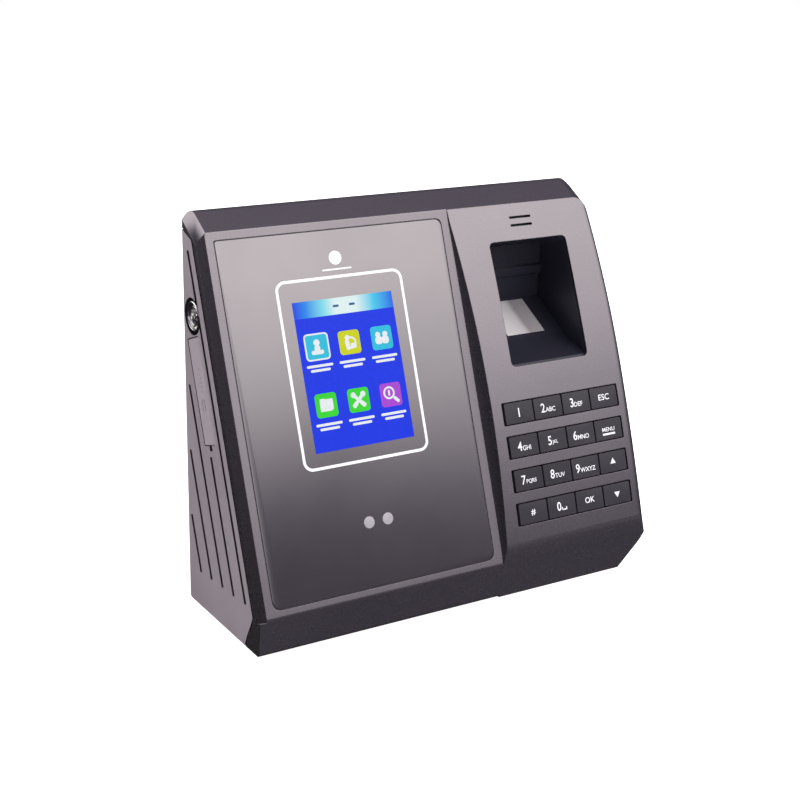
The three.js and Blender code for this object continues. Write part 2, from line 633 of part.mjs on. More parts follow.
const LOOK = {
  cover: material(0x6f6a70, 0.42, 0.25),
  shell: material(0x8f878c, 0.5, 0.2),
  window: material(0x7d777b, 0.18, 0.2),
  lens: material(0xc9c6cc, 0.3, 0, { transparent: true, opacity: 0.7 }),
  key: material(0x3a3a42, 0.6),
  well: material(0x191922, 0.45),
  glass: material(0xd8d6d8, 0.12, 0, { transparent: true, opacity: 0.8 }),
  rubber: material(0x857d82, 0.75),
  mat: material(0xb8b8bc, 0.8),
  board: material(0x1f5a3a, 0.6),
  metal: material(0xb9bcc0, 0.3, 0.95),
  steel: material(0x9a9da2, 0.38, 0.95),
  blackPlastic: material(0x1c1c20, 0.5),
  terminal: material(0x2f7d4a, 0.5),
};

const face = new THREE.Group();

function place(name, shape, look) {
  const geometry = shape instanceof THREE.BufferGeometry ? shape : geometryOf(shape);
  const mesh = new THREE.Mesh(geometry, look.clone());
  mesh.name = name;
  face.add(mesh);
  return mesh;
}

place('front_cover', frontCover(), LOOK.cover);
place('rear_shell', rearShell(), LOOK.shell);
place('display_window', displayWindow(), LOOK.window);
place('display_module', displayModule(), LOOK.metal);
place('status_lens_left', statusLens(-LENS.x), LOOK.lens);
place('status_lens_right', statusLens(LENS.x), LOOK.lens);
forEachKey((name, x, y) => place(name, key(x, y), LOOK.key));
place('keypad_mat', keypadMat(), LOOK.mat);
place('keypad_board', block(58.6, 121, -61, -5.4, MAT_TOP - 3.9, MAT_TOP - 2 - GAP), LOOK.board);
place('finger_well', fingerWell(), LOOK.well);
place('sensor_prism', sensorPrism(), LOOK.glass);
place('sensor_board', sensorBoard(), LOOK.board);
place('speaker', speaker(), LOOK.blackPlastic);
place('main_board', mainBoard(), LOOK.board);
place('wiring_socket', wiringSocket(), LOOK.terminal);
place('dc_jack', dcJack(), LOOK.metal);
place('usb_port', usbPort(), LOOK.metal);
place('port_flap', portFlap(), LOOK.rubber);
SCREW_PLACES.forEach(([x, y], i) => place(`case_screw_${i + 1}`, caseScrew(x, y), LOOK.steel));

const plate = place('wall_plate', wallPlate(), LOOK.steel);
plate.rotation.x = backAngle;
plate.position.set(0, backMiddle.x, backMiddle.y);
plate.translateZ(-PLATE.thick - GAP);

face.rotation.x = Math.PI / 2 - TILT;

const terminal = new THREE.Group();
terminal.add(face);
terminal.updateMatrixWorld(true);
const extent = new THREE.Box3().setFromObject(terminal, true);
const middle = extent.getCenter(new THREE.Vector3());
terminal.position.set(-middle.x, -middle.y, -extent.min.z);

export default terminal;
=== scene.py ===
import math

import bmesh
import bpy
from mathutils import Matrix, Vector


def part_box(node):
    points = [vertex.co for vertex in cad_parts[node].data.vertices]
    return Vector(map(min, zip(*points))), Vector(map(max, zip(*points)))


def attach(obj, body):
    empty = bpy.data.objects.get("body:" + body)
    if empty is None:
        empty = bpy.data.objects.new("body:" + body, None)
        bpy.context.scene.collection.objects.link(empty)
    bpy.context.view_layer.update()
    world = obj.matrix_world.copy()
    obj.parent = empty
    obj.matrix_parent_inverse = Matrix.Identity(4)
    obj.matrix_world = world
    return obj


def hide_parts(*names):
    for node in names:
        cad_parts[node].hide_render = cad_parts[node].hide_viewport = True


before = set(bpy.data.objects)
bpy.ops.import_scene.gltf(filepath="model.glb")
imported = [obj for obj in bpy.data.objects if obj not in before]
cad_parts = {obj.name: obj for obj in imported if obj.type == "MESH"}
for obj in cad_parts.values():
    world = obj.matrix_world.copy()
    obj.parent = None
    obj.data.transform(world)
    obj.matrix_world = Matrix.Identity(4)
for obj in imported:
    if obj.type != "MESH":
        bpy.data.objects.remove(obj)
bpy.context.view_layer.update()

MM = 0.001

# ---- the tilted face -------------------------------------------------------------------------------
# Pieces of the face are laid out in millimetres: across to the right, up the slope, and out of it.
# Its middle is the middle of the display window's outer side.

TILT = math.radians(18)
ACROSS = Vector((1, 0, 0))
UPHILL = Vector((0, math.sin(TILT), math.cos(TILT)))
OUTWARD = Vector((0, -math.cos(TILT), math.sin(TILT)))
WINDOW_THICKNESS = 1.5

window_low, window_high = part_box("display_window")
FACE_MIDDLE = (window_low + window_high) / 2 + OUTWARD * WINDOW_THICKNESS / 2 * MM
FACE = Matrix.Translation(FACE_MIDDLE) @ Matrix((ACROSS, UPHILL, OUTWARD)).transposed().to_4x4()


def on_face(across, uphill, outward=0.0):
    return FACE @ (Vector((across, uphill, outward)) * MM)


# ---- camera ----------------------------------------------------------------------------------------

SENSOR_WIDTH, FOCAL_LENGTH = 36, 65.75
STANDS_AT = (-258.6, 8.6, 497.9)
LOOKS_ALONG = (0.4851, 0.8269, -0.2843)
ITS_RIGHT = (0.8622, -0.5067, -0.0026)

camera_data = bpy.data.cameras.new("camera")
camera = bpy.data.objects.new("camera", camera_data)
bpy.context.scene.collection.objects.link(camera)
camera_data.sensor_width = SENSOR_WIDTH
camera_data.lens = FOCAL_LENGTH
camera_data.clip_start, camera_data.clip_end = 0.01, 20
camera.location = on_face(*STANDS_AT)
camera_forward = Vector(LOOKS_ALONG).normalized()
camera_up = Vector(ITS_RIGHT).cross(camera_forward).normalized()
camera_right = camera_forward.cross(camera_up)
camera.rotation_euler = Matrix((camera_right, camera_up, -camera_forward)).transposed().to_euler()
bpy.context.scene.camera = camera


# ---- making and finishing pieces -------------------------------------------------------------------

def deselect():
    bpy.ops.object.select_all(action="DESELECT")


def only(piece):
    deselect()
    piece.select_set(True)
    bpy.context.view_layer.objects.active = piece


def settle(piece, turn=None):
    """Moves the piece's place into its mesh, after turning it from the face's layout if one is given."""
    only(piece)
    bpy.context.view_layer.update()
    if turn is not None:
        piece.matrix_world = turn @ piece.matrix_world
    bpy.ops.object.transform_apply(location=True, rotation=True, scale=True)


def open_mesh():
    """Starts to edit the active piece, with all of it selected."""
    bpy.ops.object.mode_set(mode="EDIT")
    bpy.ops.mesh.select_all(action="SELECT")


def close_mesh():
    """Turns every face outward and ends the editing."""
    bpy.ops.mesh.select_all(action="SELECT")
    bpy.ops.mesh.normals_make_consistent(inside=False)
    bpy.ops.object.mode_set(mode="OBJECT")


def extrude(height):
    bpy.ops.mesh.extrude_region_move(TRANSFORM_OT_translate={"value": (0, 0, height * MM)})


def pick(piece, edges=None, vertices=None):
    """In edit mode, selects only what the test picks out by its place in the mesh."""
    bpy.ops.mesh.select_mode(type="EDGE" if edges else "VERT")
    bpy.ops.mesh.select_all(action="DESELECT")
    mesh = bmesh.from_edit_mesh(piece.data)
    test = edges or vertices
    for element in mesh.edges if edges else mesh.verts:
        element.select_set(bool(test(element)))
    mesh.select_flush_mode()
    bmesh.update_edit_mesh(piece.data)


def smooth(piece, degrees=32):
    only(piece)
    bpy.ops.object.shade_smooth_by_angle(angle=math.radians(degrees))


def apply_modifier(piece, kind, **settings):
    only(piece)
    modifier = piece.modifiers.new(kind.lower(), kind)
    for name, value in settings.items():
        setattr(modifier, name, value)
    bpy.ops.object.modifier_apply(modifier=modifier.name)


def coated(piece, material):
    piece.data.materials.clear()
    piece.data.materials.append(material)
    return piece


def finish_piece(piece, name, body, material, replaces=()):
    """Names a piece and puts it on its body. A piece that is coated already is given no material."""
    piece.name = name
    piece.data.name = name
    if material is not None:
        coated(piece, material)
    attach(piece, body)
    if replaces:
        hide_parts(*replaces)
    return piece


SAME_PLACE = 1e-6


def plate(left, bottom, right, top, low, high, corner, edge=0.2, steps=5):
    """A slab with rounded corners, and an edge softened at its outer side, still in the face's layout.

    corner is one radius, or a radius for each corner, lower left first and then round to the right."""
    deselect()
    middle = ((left + right) / 2 * MM, (bottom + top) / 2 * MM, low * MM)
    bpy.ops.mesh.primitive_plane_add(size=1, location=middle)
    piece = bpy.context.object
    piece.scale = ((right - left) * MM, (top - bottom) * MM, 1)
    settle(piece)
    open_mesh()
    if isinstance(corner, tuple):
        for radius, (x, y) in zip(corner, ((left, bottom), (right, bottom), (right, top), (left, top))):
            pick(piece, vertices=lambda v: max(abs(v.co.x - x * MM), abs(v.co.y - y * MM)) < SAME_PLACE)
            bpy.ops.mesh.bevel(offset=radius * MM, segments=steps, affect="VERTICES")
    elif corner:
        bpy.ops.mesh.bevel(offset=corner * MM, segments=steps, affect="VERTICES")
    if high > low:
        bpy.ops.mesh.select_all(action="SELECT")
        extrude(high - low)
        if edge:
            pick(piece, edges=lambda e: all(abs(v.co.z - high * MM) < SAME_PLACE for v in e.verts))
            bpy.ops.mesh.bevel(offset=edge * MM, segments=3, affect="EDGES")
    close_mesh()
    return piece


def turned(profile, sides=48):
    """A turned piece about the layout's outward axis, through circles of the radii and heights given."""
    deselect()
    (radius, height), *rest = profile
    bpy.ops.mesh.primitive_circle_add(vertices=sides, radius=radius * MM, fill_type="NGON",
                                      location=(0, 0, height * MM))
    piece = bpy.context.object
    settle(piece)
    open_mesh()
    for next_radius, next_height in rest:
        extrude(next_height - height)
        grow = next_radius / radius
        bpy.ops.transform.resize(value=(grow, grow, 1), center_override=(0, 0, 0))
        radius, height = next_radius, next_height
    close_mesh()
    smooth(piece, 40)
    return piece


def shifted(piece, across, uphill, outward=0.0, turn=0.0):
    """Turns a flat piece in its plane, in degrees, and moves it within the face's layout."""
    piece.matrix_world = (Matrix.Translation(Vector((across, uphill, outward)) * MM)
                          @ Matrix.Rotation(math.radians(turn), 4, "Z") @ piece.matrix_world)
    settle(piece)
    return piece


def join(pieces):
    deselect()
    for piece in pieces:
        piece.select_set(True)
    bpy.context.view_layer.objects.active = pieces[0]
    bpy.ops.object.join()
    return bpy.context.object


# ---- materials -------------------------------------------------------------------------------------

def colour(code):
    """The linear colour of an sRGB hex code."""
    parts = [int(code[i:i + 2], 16) / 255 for i in (1, 3, 5)]
    return [p / 12.92 if p <= 0.04045 else ((p + 0.055) / 1.055) ** 2.4 for p in parts] + [1.0]


def add(material, kind, settings=None, values=None, links=None):
    """Adds one node to a material, with its settings, its sockets' values and the links into it."""
    made = material.node_tree.nodes.new(kind)
    for name, value in (settings or {}).items():
        setattr(made, name, value)
    for name, value in (values or {}).items():
        made.inputs[name].default_value = value
    for name, source in (links or {}).items():
        material.node_tree.links.new(source, made.inputs[name])
    return made


def start_material(name):
    material = bpy.data.materials.new(name)
    material.use_nodes = True
    material.node_tree.nodes.clear()
    place = add(material, "ShaderNodeTexCoord").outputs["Object"]
    return material, place


def end_material(material, shader):
    add(material, "ShaderNodeOutputMaterial", links={"Surface": shader.outputs["BSDF"]})
    return material


def ramp(material, source, *stops):
    """Colours along a value, each stop a place from 0 to 1 and a colour."""
    made = add(material, "ShaderNodeValToRGB", links={"Fac": source})
    elements = made.color_ramp.elements
    while len(elements) < len(stops):
        elements.new(0.5)
    for element, (place, shade) in zip(elements, stops):
        element.position = place
        element.color = shade
    return made.outputs["Color"]


def grains_per_metre(size_mm):
    return 1 / (size_mm * MM)


def noise(material, place, size_mm, detail=2.0):
    """Cloudy noise from 0 to 1, its clouds about the size given."""
    return add(material, "ShaderNodeTexNoise", values={"Scale": grains_per_metre(size_mm), "Detail": detail},
               links={"Vector": place}).outputs["Fac"]


def spread(material, value, low, high, start=0.0, end=1.0):
    """Stretches a value that goes from start to end so that it goes from low to high."""
    return add(material, "ShaderNodeMapRange",
               values={"From Min": start, "From Max": end, "To Min": low, "To Max": high},
               links={"Value": value}).outputs["Result"]


def rounded_edges(material, edge_mm):
    return add(material, "ShaderNodeBevel", settings={"samples": 4},
               values={"Radius": edge_mm * MM}).outputs["Normal"]


def bumped(material, height, depth_mm, normal):
    return add(material, "ShaderNodeBump", values={"Strength": 1.0, "Distance": depth_mm * MM},
               links={"Height": height, "Normal": normal}).outputs["Normal"]


def across_place(material, place, left, right):
    """0 at the left place and 1 at the right one."""
    across = add(material, "ShaderNodeSeparateXYZ", links={"Vector": place}).outputs["X"]
    return spread(material, across, 0.0, 1.0, left, right)


DRIFT_MM = 38


def moulded(name, light, dark, gloss, grain_mm, depth_mm, edge_mm=0.35, values=None):
    """A moulded or sprayed surface: slow drift between two shades, fine grain, softened edges.

    gloss gives the roughness of its smoothest and its dullest patches."""
    material, place = start_material(name)
    grain = noise(material, place, grain_mm, 3.0)
    shade = ramp(material, noise(material, place, DRIFT_MM), (0.3, colour(dark)), (0.7, colour(light)))
    rough = spread(material, grain, *gloss, 0.3, 0.7)
    bump = bumped(material, grain, depth_mm, rounded_edges(material, edge_mm))
    shader = add(material, "ShaderNodeBsdfPrincipled", values=values,
                 links={"Base Color": shade, "Roughness": rough, "Normal": bump})
    return end_material(material, shader)


# ABS sprayed gunmetal: a satin metallic lacquer that takes on a broad gradient from the lights.
sprayed_gunmetal = moulded("sprayed_gunmetal_abs", "#7c777b", "#797478", (0.27, 0.285), 1.4, 0.0003, 0.35,
                           {"Metallic": 0.96, "IOR": 1.5})
# Warm grey ABS from a finely etched mould, which gives a duller and more even satin.
etched_grey = moulded("etched_warm_grey_abs", "#8b8288", "#837a80", (0.40, 0.5), 0.6, 0.002, 0.3,
                      {"Metallic": 0.35, "IOR": 1.5})
# Polished acrylic, printed grey from behind: flat, clear gloss over a plain ground.
printed_acrylic = moulded("printed_acrylic_window", "#7b7779", "#767275", (0.2, 0.22), 6.0, 0.0002, 0.1,
                          {"Metallic": 0.94, "IOR": 1.49, "Coat Weight": 0.15, "Coat Roughness": 0.08})
# Smooth black ABS from a polished mould, inside the finger well.
polished_black = moulded("polished_black_abs", "#262631", "#20202a", (0.3, 0.36), 4.0, 0.0002, 0.25,
                         {"IOR": 1.5})
# Charcoal ABS key caps from a spark-eroded mould: a visible fine grain and a low sheen.
key_charcoal = moulded("spark_eroded_charcoal_abs", "#2b282f", "#252229", (0.45, 0.6), 0.35, 0.012, 0.1,
                       {"IOR": 1.5, "Specular IOR Level": 0.4})
# White pad-printing ink, slightly glossy and a little uneven where it sits on the grain.
printing_ink = moulded("white_pad_printing_ink", "#dfdfe1", "#d2d2d5", (0.35, 0.45), 0.3, 0.004, 0.02)
# Black ABS with a plain moulded surface.
moulded_black = moulded("moulded_black_abs", "#1b1b1d", "#151517", (0.4, 0.5), 0.5, 0.01, 0.2)
# Natural silicone rubber: milky, matt and soft-edged.
silicone = moulded("milky_silicone_rubber", "#b9b9bd", "#adadb2", (0.55, 0.65), 0.8, 0.01, 0.4,
                   {"Subsurface Weight": 0.1, "Subsurface Scale": 0.002})
# Soft thermoplastic rubber in the casing's grey, matter than the casing.
soft_rubber = moulded("soft_grey_rubber", "#888086", "#80787e", (0.55, 0.65), 0.4, 0.01, 0.25,
                      {"Metallic": 0.15})
# Green nylon of pluggable wire terminals.
green_nylon = moulded("moulded_green_nylon", "#2a7a45", "#246b3d", (0.35, 0.45), 0.6, 0.008, 0.2)
# Clouded polycarbonate of the two status lenses.
clouded_polycarbonate = moulded("clouded_polycarbonate", "#a19da1", "#858186", (0.18, 0.3), 0.6, 0.01, 0.1,
                                {"IOR": 1.58, "Subsurface Weight": 0.2, "Subsurface Scale": 0.002})


def glass_with_painted_reflection(left, right):
    """Optical glass with a pale coat behind it: a sharp polished gloss over a ground with a painted
    reflection of the finger well's dark wall, which makes it darker towards the right."""
    material, place = start_material("coated_glass_with_painted_reflection")
    wavering = spread(material, noise(material, place, 5), -0.04, 0.04)
    edge = add(material, "ShaderNodeMath", settings={"operation": "ADD"},
               links={0: across_place(material, place, left, right), 1: wavering})
    # Painted reflection: the ground is light on the left and darker towards the right, where the finger
    # well's dark wall would show in the glass.
    shade = ramp(material, edge.outputs["Value"], (0.0, colour("#cfcccc")), (0.5, colour("#bdb9ba")),
                 (0.62, colour("#8f8a8d")), (1.0, colour("#a5a1a3")))
    shader = add(material, "ShaderNodeBsdfPrincipled",
                 values={"Roughness": 0.08, "IOR": 1.52, "Coat Weight": 0.6, "Coat Roughness": 0.03},
                 links={"Base Color": shade})
    return end_material(material, shader)


def zinc_plated():
    """Steel sheet with bright zinc: faint spangles a few millimetres wide, and fine rolling lines."""
    material, place = start_material("zinc_plated_steel")
    spangle = add(material, "ShaderNodeTexVoronoi", values={"Scale": grains_per_metre(4)},
                  links={"Vector": place})
    shade = ramp(material, spangle.outputs["Color"], (0.2, colour("#a3a5a8")), (0.8, colour("#b7b9bc")))
    stretched = add(material, "ShaderNodeMapping", values={"Scale": (1, 12, 1)}, links={"Vector": place})
    lines = noise(material, stretched.outputs["Vector"], 6, 4.0)
    rough = spread(material, lines, 0.28, 0.46)
    bump = bumped(material, lines, 0.003, rounded_edges(material, 0.2))
    shader = add(material, "ShaderNodeBsdfPrincipled", values={"Metallic": 1.0},
                 links={"Base Color": shade, "Roughness": rough, "Normal": bump})
    return end_material(material, shader)


def nickel_plated():
    """Bright nickel over brass: a hard, near mirror gloss with faint turning lines."""
    material, place = start_material("bright_nickel_plating")
    lines = noise(material, place, 0.6)
    shade = ramp(material, lines, (0.3, colour("#c4c2bf")), (0.7, colour("#d2d0cd")))
    rough = spread(material, lines, 0.12, 0.24)
    shader = add(material, "ShaderNodeBsdfPrincipled", values={"Metallic": 1.0},
                 links={"Base Color": shade, "Roughness": rough, "Normal": rounded_edges(material, 0.15)})
    return end_material(material, shader)


def solder_masked():
    """Circuit board: green solder mask with tracks about 0.5 mm wide showing through, satin gloss."""
    material, place = start_material("green_solder_mask")
    tracks = add(material, "ShaderNodeTexBrick", settings={"offset": 0.37, "squash": 1.6},
                 values={"Scale": grains_per_metre(9), "Mortar Size": 0.04, "Mortar Smooth": 0.1,
                         "Color1": colour("#155a35"), "Color2": colour("#1a633b"),
                         "Mortar": colour("#3b8f58")}, links={"Vector": place})
    bump = add(material, "ShaderNodeBump", values={"Strength": 0.6, "Distance": 0.03 * MM},
               links={"Height": tracks.outputs["Fac"]}).outputs["Normal"]
    shader = add(material, "ShaderNodeBsdfPrincipled", values={"Roughness": 0.32, "IOR": 1.55},
                 links={"Base Color": tracks.outputs["Color"], "Normal": bump})
    return end_material(material, shader)


steel = zinc_plated()
nickel = nickel_plated()
board = solder_masked()


def glowing(material, shade):
    """A part of the screen, seen through the polished acrylic: it glows, with gloss over it."""
    shader = add(material, "ShaderNodeBsdfPrincipled",
                 values={"Base Color": (0.0, 0.0, 0.0, 1.0), "Roughness": 0.14, "Specular IOR Level": 0.12,
                         "Emission Strength": 0.9},
                 links={"Emission Color": shade})
    return end_material(material, shader)


def lit(name, code):
    """A patch of the lit screen in one colour, its cells a little uneven."""
    material, place = start_material(name)
    dim = [part * 0.93 for part in colour(code)[:3]] + [1.0]
    cells = noise(material, place, 1.2, 1.0)
    return glowing(material, ramp(material, cells, (0.35, dim), (0.65, colour(code))))


def lit_header(left, right):
    """The bar over the screen's menu: blue at both ends, through cyan to white in the middle."""
    material, place = start_material("lit_screen_header")
    stops = ((0.0, "#2a4af0"), (0.12, "#2f8df2"), (0.3, "#8be6f5"), (0.42, "#e8fbfb"), (0.62, "#e8fbfb"),
             (0.8, "#4fd0f5"), (1.0, "#2c6cf0"))
    along = across_place(material, place, left, right)
    return glowing(material, ramp(material, along, *[(at, colour(code)) for at, code in stops]))


screen_blue = lit("lit_screen_blue", "#1c3cf2")
screen_white = lit("lit_screen_white", "#f6fbff")
screen_cyan = lit("lit_screen_cyan", "#36c8ea")
screen_yellow = lit("lit_screen_yellow", "#d8de1c")
screen_green = lit("lit_screen_green", "#3fe23a")
screen_purple = lit("lit_screen_purple", "#b44fe0")
screen_ink = lit("lit_screen_ink", "#3a6c9a")

# ---- casing: the moulded shells keep their CAD shape, welded so that their curves shade smoothly --------

WELD_MM, FLAT_DEGREES = 0.002, 0.4


def welded_copy(node):
    """A copy of a CAD node with its loose triangles joined and its flat sides made whole."""
    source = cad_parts[node]
    piece = source.copy()
    piece.data = source.data.copy()
    piece.parent = None
    piece.matrix_world = source.matrix_world.copy()
    bpy.context.scene.collection.objects.link(piece)
    settle(piece)
    open_mesh()
    bpy.ops.mesh.remove_doubles(threshold=WELD_MM * MM)
    bpy.ops.mesh.dissolve_limited(angle_limit=math.radians(FLAT_DEGREES))
    bpy.ops.object.mode_set(mode="OBJECT")
    bpy.ops.mesh.customdata_custom_splitnormals_clear()
    return piece


def soften(piece, width, degrees):
    """Rounds every edge that turns by more than the angle."""
    apply_modifier(piece, "BEVEL", width=width * MM, segments=3, limit_method="ANGLE",
                   angle_limit=math.radians(degrees))


def smoothed_copy(node, material):
    """A welded copy of a CAD node that stands for it, with its curved sides shaded smooth."""
    piece = welded_copy(node)
    only(piece)
    open_mesh()
    bpy.ops.mesh.quads_convert_to_tris()
    bpy.ops.object.mode_set(mode="OBJECT")
    smooth(piece, 28)
    apply_modifier(piece, "WEIGHTED_NORMAL", keep_sharp=True, weight=100)
    return finish_piece(piece, node + "_moulding", "casing", material, (node,))


cover = smoothed_copy("front_cover", sprayed_gunmetal)
shell = smoothed_copy("rear_shell", etched_grey)

# Only the outside is sprayed, so the inside keeps the black of the plastic. Faces that look at another wall
# of the two mouldings within this distance are given that black; where they show, in slots, gaps and
# recesses, the black is painted shade.
PAINTED_SHADE_REACH = 45
for moulding in (cover, shell):
    moulding.data.materials.append(moulded_black)
    for face in moulding.data.polygons:
        start = face.center + face.normal * 0.02 * MM
        if any(other.ray_cast(start, face.normal, distance=PAINTED_SHADE_REACH * MM)[0] for other in (cover, shell)):
            face.material_index = 1

smoothed_copy("finger_well", polished_black)
smoothed_copy("wall_plate", steel)
for number in range(1, 5):
    smoothed_copy(f"case_screw_{number}", steel)

# ---- display window, its printed frame and the screen ----------------------------------------------------

WINDOW = {"width": 97.7, "height": 137.8, "corners": (4, 4, 3, 1)}
half_width, half_height = WINDOW["width"] / 2, WINDOW["height"] / 2
window = plate(-half_width, -half_height, half_width, half_height, -WINDOW_THICKNESS, 0, WINDOW["corners"],
               edge=0.12, steps=8)
settle(window, FACE)
smooth(window)
finish_piece(window, "display_window_panel", "casing", printed_acrylic,
             ("display_window",))

# Printing stands this far out of the window, and starts this far below its surface.
PRINT, SUNK = 0.02, -0.3
SCREEN = {"x": -0.16, "y": 14.04, "width": 43.2, "height": 57.6}


def printed(name, piece, material):
    settle(piece, FACE)
    finish_piece(piece, name, "casing", material)


def outline_frame(x, y, width, height, line, corner, low, high):
    """A flat ring with rounded corners, its outer sides width by height."""
    outer = plate(x - width / 2, y - height / 2, x + width / 2, y + height / 2, low, low, corner, steps=8)
    only(outer)
    open_mesh()
    bpy.ops.mesh.inset(thickness=line * MM)
    bpy.ops.mesh.delete(type="FACE")
    bpy.ops.mesh.select_all(action="SELECT")
    extrude(high - low)
    close_mesh()
    return outer


# A thin black strip fills the gap between the window and its recess: painted shade in the shadow gap.
SHADOW_GAP_WIDTH = 0.32
shadow_gap_strip = outline_frame(0, 0, 2 * (half_width + SHADOW_GAP_WIDTH), 2 * (half_height + SHADOW_GAP_WIDTH), SHADOW_GAP_WIDTH + 0.05,
                       WINDOW["corners"], -WINDOW_THICKNESS, -0.12)
settle(shadow_gap_strip, FACE)
finish_piece(shadow_gap_strip, "window_shadow_gap_strip", "casing", moulded_black)

printed("screen_surround", outline_frame(-0.2, 15.2, 54.9, 72.4, 1.1, 4.0, SUNK, PRINT), printing_ink)

screen_left = SCREEN["x"] - SCREEN["width"] / 2
screen_right = SCREEN["x"] + SCREEN["width"] / 2
screen_bottom = SCREEN["y"] - SCREEN["height"] / 2
screen_top = SCREEN["y"] + SCREEN["height"] / 2
header_bottom = screen_top - 6.4
printed("screen_ground", plate(screen_left, screen_bottom, screen_right, header_bottom, SUNK, PRINT, 0, 0),
        screen_blue)
printed("screen_header", plate(screen_left, header_bottom, screen_right, screen_top, SUNK, PRINT, 0, 0),
        lit_header(on_face(screen_left, 0).x, on_face(screen_right, 0).x))

ICON = 9.2
LABEL = {"below": 8.0, "lines": ((0.75, 11.2), (-0.95, 8.4)), "thick": 1.0}
INK_LOW, INK_HIGH = PRINT + 0.02, PRINT + 0.05


def disc(x, y, radius):
    return shifted(turned([(radius, INK_LOW), (radius, INK_HIGH)], 28), x, y)


def bar(x, y, width, height, turn=0.0, corner=0.3):
    flat = plate(-width / 2, -height / 2, width / 2, height / 2, INK_LOW, INK_HIGH, corner, 0)
    return shifted(flat, x, y, 0, turn)


def ring(x, y, width, line):
    return shifted(outline_frame(0, 0, width, width, line, width / 2.02, INK_LOW, INK_HIGH), x, y)


def person(x, y):
    return [disc(x, y + 1.6, 1.3), bar(x, y - 0.6, 2.4, 2.4, 0, 1.0), bar(x, y - 2.1, 5.2, 1.6, 0, 0.7)]


def person_in_loop(x, y):
    return [disc(x - 0.8, y + 1.9, 1.0), bar(x - 0.9, y - 0.9, 1.9, 4.0, 8, 0.8),
            ring(x + 0.5, y - 0.2, 4.8, 0.7), bar(x + 1.6, y - 1.4, 2.4, 2.0, 0, 0.6)]


def two_people(x, y):
    return [disc(x - 1.6, y + 1.3, 1.1), disc(x + 1.6, y + 1.3, 1.1), bar(x - 1.4, y - 0.9, 3.2, 3.0, 0, 1.2),
            bar(x + 1.4, y - 0.9, 3.2, 3.0, 0, 1.2)]


def folder(x, y):
    return [bar(x - 0.2, y - 0.3, 5.0, 4.0, 0, 0.4), bar(x - 1.5, y + 1.9, 2.2, 1.4, 0, 0.4),
            bar(x + 0.9, y + 0.2, 4.0, 4.2, 0, 0.4)]


def crossed_tools(x, y):
    return [bar(x, y, 1.3, 6.4, 45, 0.6), bar(x, y, 1.3, 6.4, -45, 0.6), disc(x - 2.1, y + 2.1, 1.1),
            disc(x + 2.1, y + 2.1, 1.1), bar(x + 1.7, y - 1.7, 1.7, 2.6, 45, 0.6),
            bar(x - 1.7, y - 1.7, 1.7, 2.6, -45, 0.6)]


def magnifier(x, y):
    return [ring(x - 0.7, y + 0.8, 5.0, 0.75), bar(x + 2.2, y - 2.1, 1.3, 3.0, 45, 0.5),
            bar(x - 0.7, y + 0.8, 0.8, 2.2)]


MENU = [
    ("people", person, screen_cyan, 7.6, 40.0), ("shifts", person_in_loop, screen_yellow, 21.6, 40.0),
    ("groups", two_people, screen_cyan, 35.8, 40.0), ("folder", folder, screen_green, 7.6, 17.6),
    ("tools", crossed_tools, screen_green, 21.6, 17.6), ("search", magnifier, screen_purple, 35.8, 17.6),
]
for name, pictogram, ground, x, y in MENU:
    x, y, half = screen_left + x, screen_bottom + y, ICON / 2
    tile = plate(x - half, y - half, x + half, y + half, PRINT, INK_LOW, 1.3, 0)
    marks = pictogram(x, y)
    if name == "people":
        marks.append(outline_frame(x, y, 10.4, 10.4, 0.65, 1.6, PRINT, INK_LOW))
    marks += [bar(x, y - LABEL["below"] + rise, length, LABEL["thick"], 0, 0.45)
              for rise, length in LABEL["lines"]]
    icon = join([coated(tile, ground), *[coated(mark, screen_white) for mark in marks]])
    printed(f"menu_icon_{name}", icon, None)

heading = [coated(bar(screen_left + x, screen_bottom + 54.5, 2.6, 0.9, 0, 0.4), screen_ink)
           for x in (18.2, 25.2)]
printed("screen_heading_marks", join(heading), None)

# A plain round mark with a bar under it fills the place above the screen where a maker's sign would be.
badge = [coated(shifted(turned([(2.7, -0.1), (2.7, PRINT)], 40), -0.5, 58.1), printing_ink),
         coated(plate(-6.8, 53.4, 5.8, 54.0, -0.1, PRINT, 0.2, 0), printing_ink)]
printed("plain_printed_badge", join(badge), None)

# ---- status lenses ----------------------------------------------------------------------------------------

LENS = {"x": 4.1, "y": -44.1, "radius": 2.5}
for side, x in (("left", -LENS["x"]), ("right", LENS["x"])):
    r = LENS["radius"]
    lens = shifted(turned([(r, -1.8), (r, -0.25), (r * 0.97, -0.08), (r * 0.9, 0.03), (r * 0.7, 0.12),
                           (r * 0.4, 0.18), (r * 0.1, 0.2)]), x, LENS["y"])
    settle(lens, FACE)
    finish_piece(lens, f"status_lens_{side}_domed", "casing", clouded_polycarbonate,
                 (f"status_lens_{side}",))

# ---- keys: a softened cap with a printed legend each -------------------------------------------------------

KEY = {"pitch_x": 14.3, "pitch_y": 13.65, "first_x": 68.75, "first_y": -12.75}
TRIANGLE = {"up": 90, "down": -90}
LEGENDS = {
    "key_1": ("1", ""), "key_2": ("2", "ABC"), "key_3": ("3", "DEF"), "key_esc": ("", "ESC"),
    "key_4": ("4", "GHI"), "key_5": ("5", "JKL"), "key_6": ("6", "MNO"), "key_menu": ("", "MENU"),
    "key_7": ("7", "PQRS"), "key_8": ("8", "TUV"), "key_9": ("9", "WXYZ"), "key_up": ("up", ""),
    "key_hash": ("", "#"), "key_0": ("0", "space"), "key_ok": ("", "OK"), "key_down": ("down", ""),
}
LEGEND_HEIGHT = {"digit": 3.7, "letters": 1.9, "ESC": 2.5, "MENU": 1.7, "#": 2.5, "OK": 2.4}
INK = 0.03


